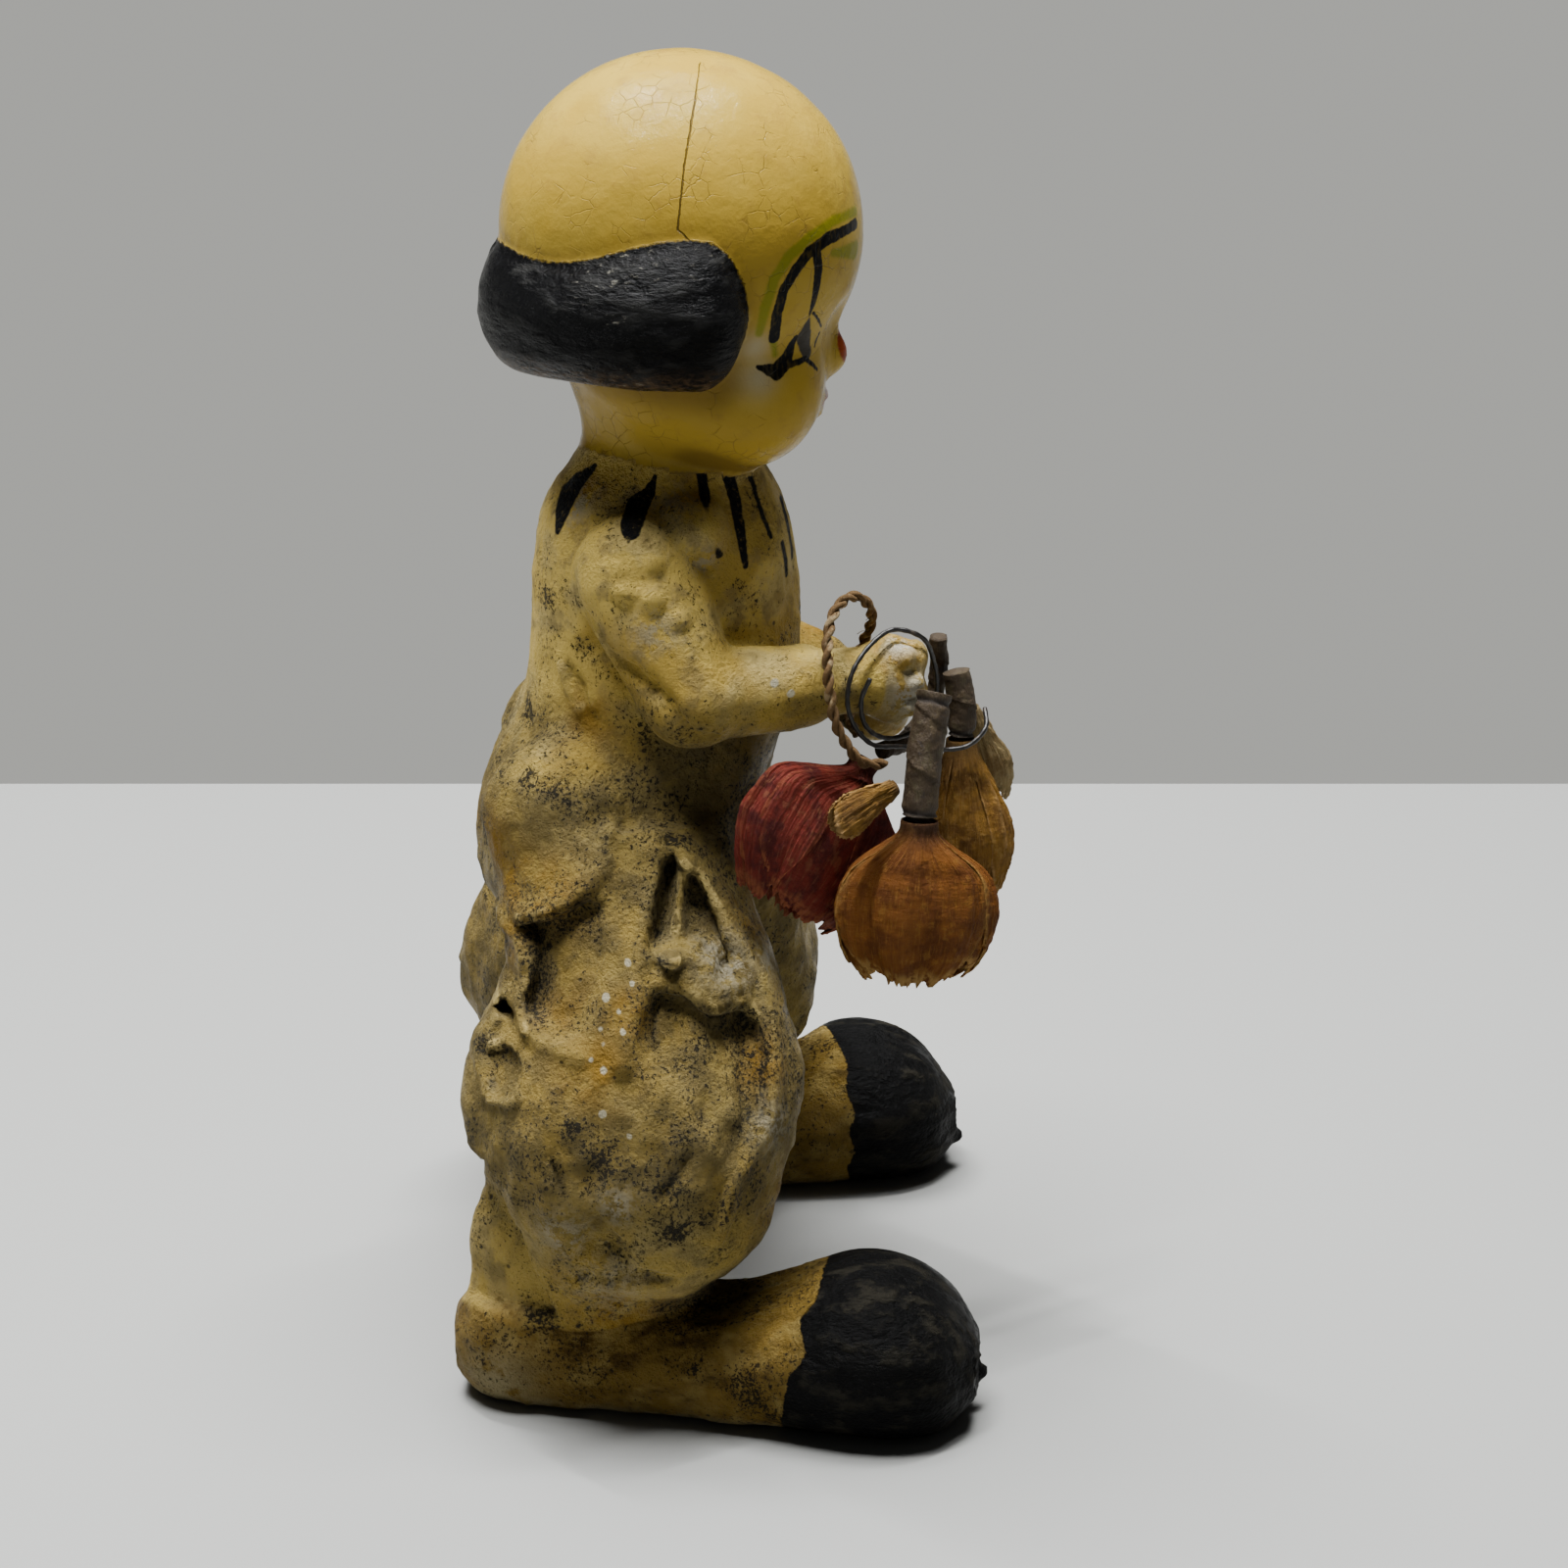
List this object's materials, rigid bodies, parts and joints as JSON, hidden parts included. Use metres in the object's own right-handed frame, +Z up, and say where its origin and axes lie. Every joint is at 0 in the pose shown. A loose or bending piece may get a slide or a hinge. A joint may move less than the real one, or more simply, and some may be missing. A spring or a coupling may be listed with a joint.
{
  "type": "papier-mache clown figure",
  "caption": "Standing papier-mache clown in a baggy draped suit and long bulb-toed shoes, bald with a side roll of hair, holding a hanging bunch of crepe paper flowers",
  "frame": {"origin": "On the ground between the feet, at the middle of the object's bounding box seen from above.", "axes": "Z up, with both soles on Z = 0. The clown faces -Y. Its right side, with the raised hand and the flowers, is at -X."},
  "size_m": [0.122, 0.0896, 0.1989],
  "materials": {
    "painted_papier_mache": "satin",
    "orange_crepe_paper": "matte",
    "red_crepe_paper": "matte",
    "ochre_crepe_paper": "matte",
    "grey_crepe_paper": "matte",
    "wrapped_stem_paper": "matte",
    "black_wire": "satin",
    "twine": "matte"
  },
  "bodies": {
    "root": {"papier_mache_clown": "painted_papier_mache", "orange_flower": "orange_crepe_paper", "red_flower": "red_crepe_paper", "ochre_flower": "ochre_crepe_paper", "grey_flower": "grey_crepe_paper", "ribbed_leaf": "ochre_crepe_paper", "orange_stem": "wrapped_stem_paper", "ochre_stem": "wrapped_stem_paper", "red_stem": "wrapped_stem_paper", "black_wire": "black_wire", "twine_loop": "twine"}
  },
  "joints": []
}
